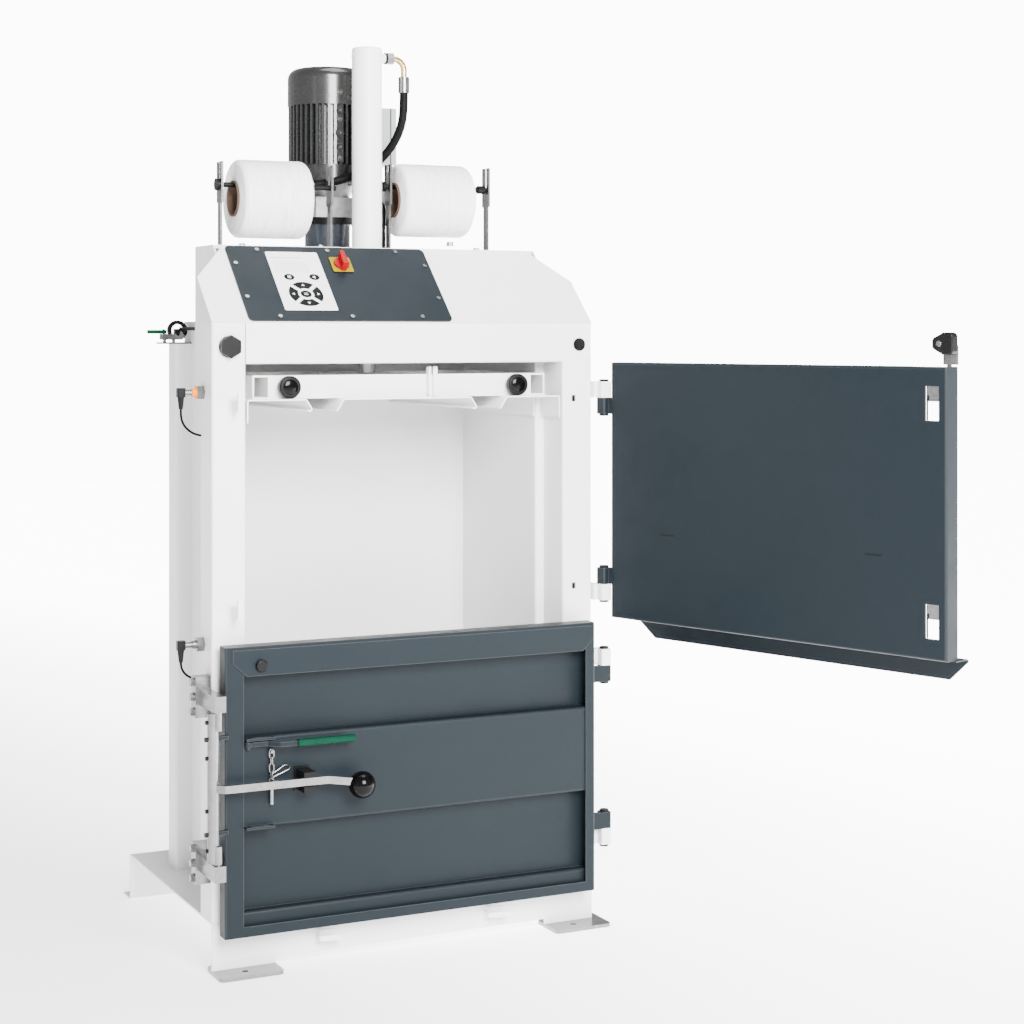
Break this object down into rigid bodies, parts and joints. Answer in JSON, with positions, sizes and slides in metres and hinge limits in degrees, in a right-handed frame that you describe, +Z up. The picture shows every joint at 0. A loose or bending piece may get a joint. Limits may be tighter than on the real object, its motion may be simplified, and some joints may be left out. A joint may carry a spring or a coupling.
{
  "type": "recycling baler",
  "caption": "Upright recycling baler: white frame with loading opening, blue-grey swing doors, lever latch, press plate on a hydraulic cylinder, control hood, power pack, strap reels.",
  "frame": {"origin": "on the floor, at the centre of the four floor anchor holes", "axes": "+X to the machine's right seen from the front, +Y to the rear, +Z up"},
  "size_m": [1.3847, 1.6321, 2.062],
  "materials": {
    "white_paint": "gloss powder coat",
    "door_paint": "blue-grey powder coat",
    "zinc": "zinc plated",
    "aluminium": "cast",
    "motor_paint": "dark grey enamel",
    "tank_paint": "blue-grey enamel",
    "box_grey": "light grey enamel",
    "black_plastic": "matte",
    "gloss_black": "gloss",
    "green_plastic": "gloss",
    "dark_green": "gloss",
    "yellow": "gloss",
    "red": "gloss",
    "foil": "printed foil",
    "strap": "woven polyester strap",
    "core": "paper tube",
    "hose": "matte",
    "chromed": "hard chrome"
  },
  "bodies": {
    "root": {"base_frame": "white_paint", "front_feet": "zinc", "strap_hooks": "white_paint", "left_post": "white_paint", "right_post": "white_paint", "header_panel": "white_paint", "left_side_wall": "white_paint", "right_side_wall": "white_paint", "back_wall": "white_paint", "hood": "white_paint", "crosshead": "white_paint", "control_panel": "door_paint", "keypad": "foil", "panel_screws": "zinc", "switch_plate": "yellow", "frame_bolts": "zinc", "door_strikers": "white_paint", "hinge_brackets": "white_paint", "hinge_pins": "black_plastic", "latch_brackets": "zinc", "cylinder_tube": "white_paint", "port_elbow": "zinc", "hydraulic_hose": "hose", "reel_stands": "zinc", "reel_rods": "black_plastic", "oil_tank": "tank_paint", "pump_block": "aluminium", "motor_body": "motor_paint", "fan_cover": "motor_paint", "terminal_box": "box_grey", "door_sensors": "zinc", "sensor_plugs": "black_plastic", "upper_sensor_cable": "hose", "lower_sensor_cable": "hose", "clamp_bracket": "zinc"},
    "upper_door": {"upper_door_panel": "door_paint", "upper_door_lip": "door_paint", "upper_door_leaves": "door_paint"},
    "door_latch_bar": {"latch_bar": "zinc", "latch_bar_knob": "black_plastic"},
    "lower_door": {"lower_door_panel": "door_paint", "centre_band": "door_paint", "lower_door_leaves": "door_paint", "door_bumper": "black_plastic", "lever_clip": "black_plastic", "chain_and_pin": "zinc"},
    "green_lever": {"green_lever_arm": "door_paint", "green_grip": "green_plastic"},
    "door_lever": {"latch_lever": "zinc", "ball_knob": "gloss_black"},
    "press": {"press_plate": "white_paint", "press_beams": "white_paint", "press_bumpers": "black_plastic", "piston_rod": "chromed"},
    "main_switch": {"switch_knob": "red"},
    "left_strap_reel": {"left_reel": "strap", "left_reel_core": "core"},
    "right_strap_reel": {"right_reel": "strap", "right_reel_core": "core"},
    "clamp_lever": {"clamp_handle": "dark_green"}
  },
  "joints": [
    {"name": "upper_door_hinge", "type": "hinge", "parent": "root", "child": "upper_door", "pos_m": [0.488, -0.348, 1], "axis": [0, 0, 1], "range_deg": [-108.4, 61.6]},
    {"name": "latch_bar_slide", "type": "slide", "parent": "upper_door", "child": "door_latch_bar", "axis": [0, 0, 1], "range_m": [0, 0.025]},
    {"name": "lower_door_hinge", "type": "hinge", "parent": "root", "child": "lower_door", "pos_m": [0.488, -0.348, 0.4], "axis": [0, 0, 1], "range_deg": [0, 100]},
    {"name": "green_lever_pivot", "type": "hinge", "parent": "lower_door", "child": "green_lever", "pos_m": [-0.405, -0.395, 0.503], "axis": [0, 0, -1], "range_deg": [0, 90]},
    {"name": "door_lever_turn", "type": "hinge", "parent": "root", "child": "door_lever", "pos_m": [-0.4775, -0.412, 0.42], "axis": [0, 0, -1], "range_deg": [0, 180]},
    {"name": "press_stroke", "type": "slide", "parent": "root", "child": "press", "axis": [0, 0, -1], "range_m": [0, 0.62]},
    {"name": "main_switch_turn", "type": "hinge", "parent": "root", "child": "main_switch", "pos_m": [-0.115, -0.19793, 1.54293], "axis": [0, -0.6893, 0.7245], "range_deg": [-90, 0]},
    {"name": "left_reel_turn", "type": "hinge", "parent": "root", "child": "left_strap_reel", "pos_m": [-0.2325, -0.03, 1.698], "axis": [1, 0, 0], "continuous": true},
    {"name": "right_reel_turn", "type": "hinge", "parent": "root", "child": "right_strap_reel", "pos_m": [0.1765, -0.03, 1.706], "axis": [1, 0, 0], "continuous": true},
    {"name": "clamp_lever_turn", "type": "hinge", "parent": "root", "child": "clamp_lever", "pos_m": [-0.43, 0.154, 1.388], "axis": [0, 0, 1], "range_deg": [0, 90]}
  ]
}
